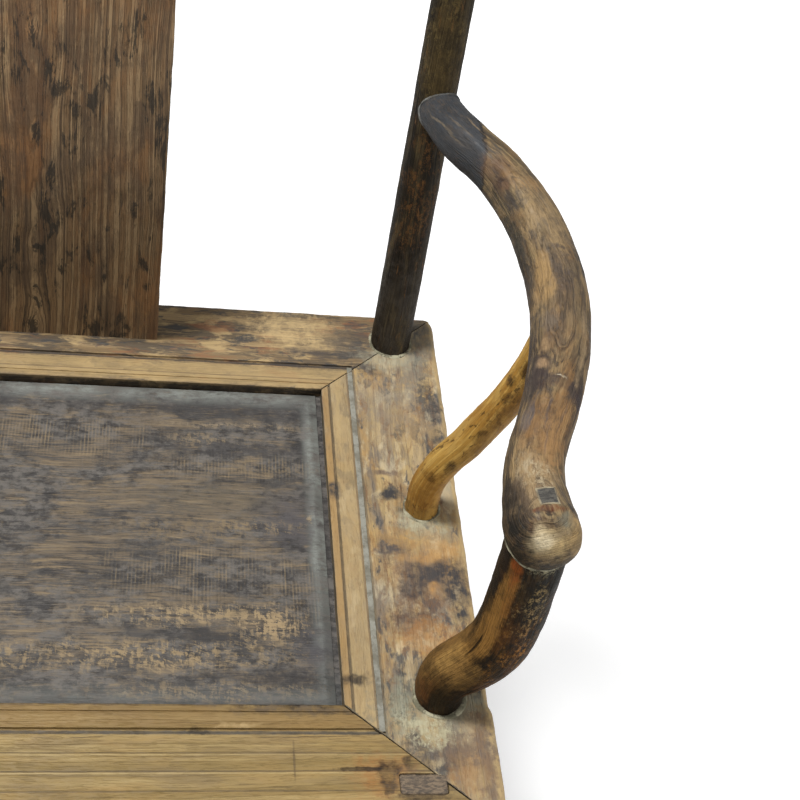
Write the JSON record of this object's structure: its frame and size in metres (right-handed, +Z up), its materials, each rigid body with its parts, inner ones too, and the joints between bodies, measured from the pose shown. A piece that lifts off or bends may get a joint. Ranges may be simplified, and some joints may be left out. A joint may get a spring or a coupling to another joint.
{
  "type": "yoke-back armchair",
  "caption": "Yoke-back armchair in elm: mitred seat frame with a sunk panel, bent arms on gooseneck posts, curved splat, crest rail with a headrest, and a footrest stretcher.",
  "frame": {"origin": "on the floor, under the middle of the chair's outline seen from above", "axes": "+X to the sitter's left, +Y from the seat's front edge to the back, +Z up"},
  "size_m": [0.725, 0.5758, 1.1283],
  "materials": {
    "honey_elm": "worn golden elm, thin old varnish",
    "worn_elm": "worn brown elm with dark streaks, satin",
    "dark_elm": "old dark lacquer worn to the wood on edges, satin",
    "ochre_elm": "ochre elm rubbed bare, satin",
    "slate_lacquer": "dark slate lacquer with worn streaks, satin",
    "peg_wood": "end grain, matte"
  },
  "bodies": {
    "root": {"seat_front_rail": "honey_elm", "seat_back_rail": "honey_elm", "seat_side_rail_left": "honey_elm", "seat_side_rail_right": "honey_elm", "front_leg_left": "honey_elm", "front_leg_right": "honey_elm", "footrest": "honey_elm", "panel_batten_left": "worn_elm", "panel_batten_right": "worn_elm", "arm_left": "worn_elm", "arm_right": "worn_elm", "back_splat": "worn_elm", "front_apron": "worn_elm", "back_apron": "worn_elm", "side_apron_left": "worn_elm", "side_apron_right": "worn_elm", "front_apron_side_left": "worn_elm", "front_apron_side_right": "worn_elm", "footrest_apron": "worn_elm", "side_stretcher_left": "worn_elm", "side_stretcher_right": "worn_elm", "back_stretcher": "worn_elm", "back_post_left": "dark_elm", "back_post_right": "dark_elm", "front_arm_post_left": "dark_elm", "front_arm_post_right": "dark_elm", "crest_rail": "dark_elm", "side_arm_post_left": "ochre_elm", "side_arm_post_right": "ochre_elm", "seat_panel": "slate_lacquer", "seat_corner_peg_front_left": "peg_wood", "seat_corner_peg_front_right": "peg_wood", "seat_corner_peg_back_left": "peg_wood", "seat_corner_peg_back_right": "peg_wood", "arm_peg_left": "peg_wood", "arm_peg_right": "peg_wood", "crest_peg_left": "peg_wood", "crest_peg_right": "peg_wood"}
  },
  "joints": []
}
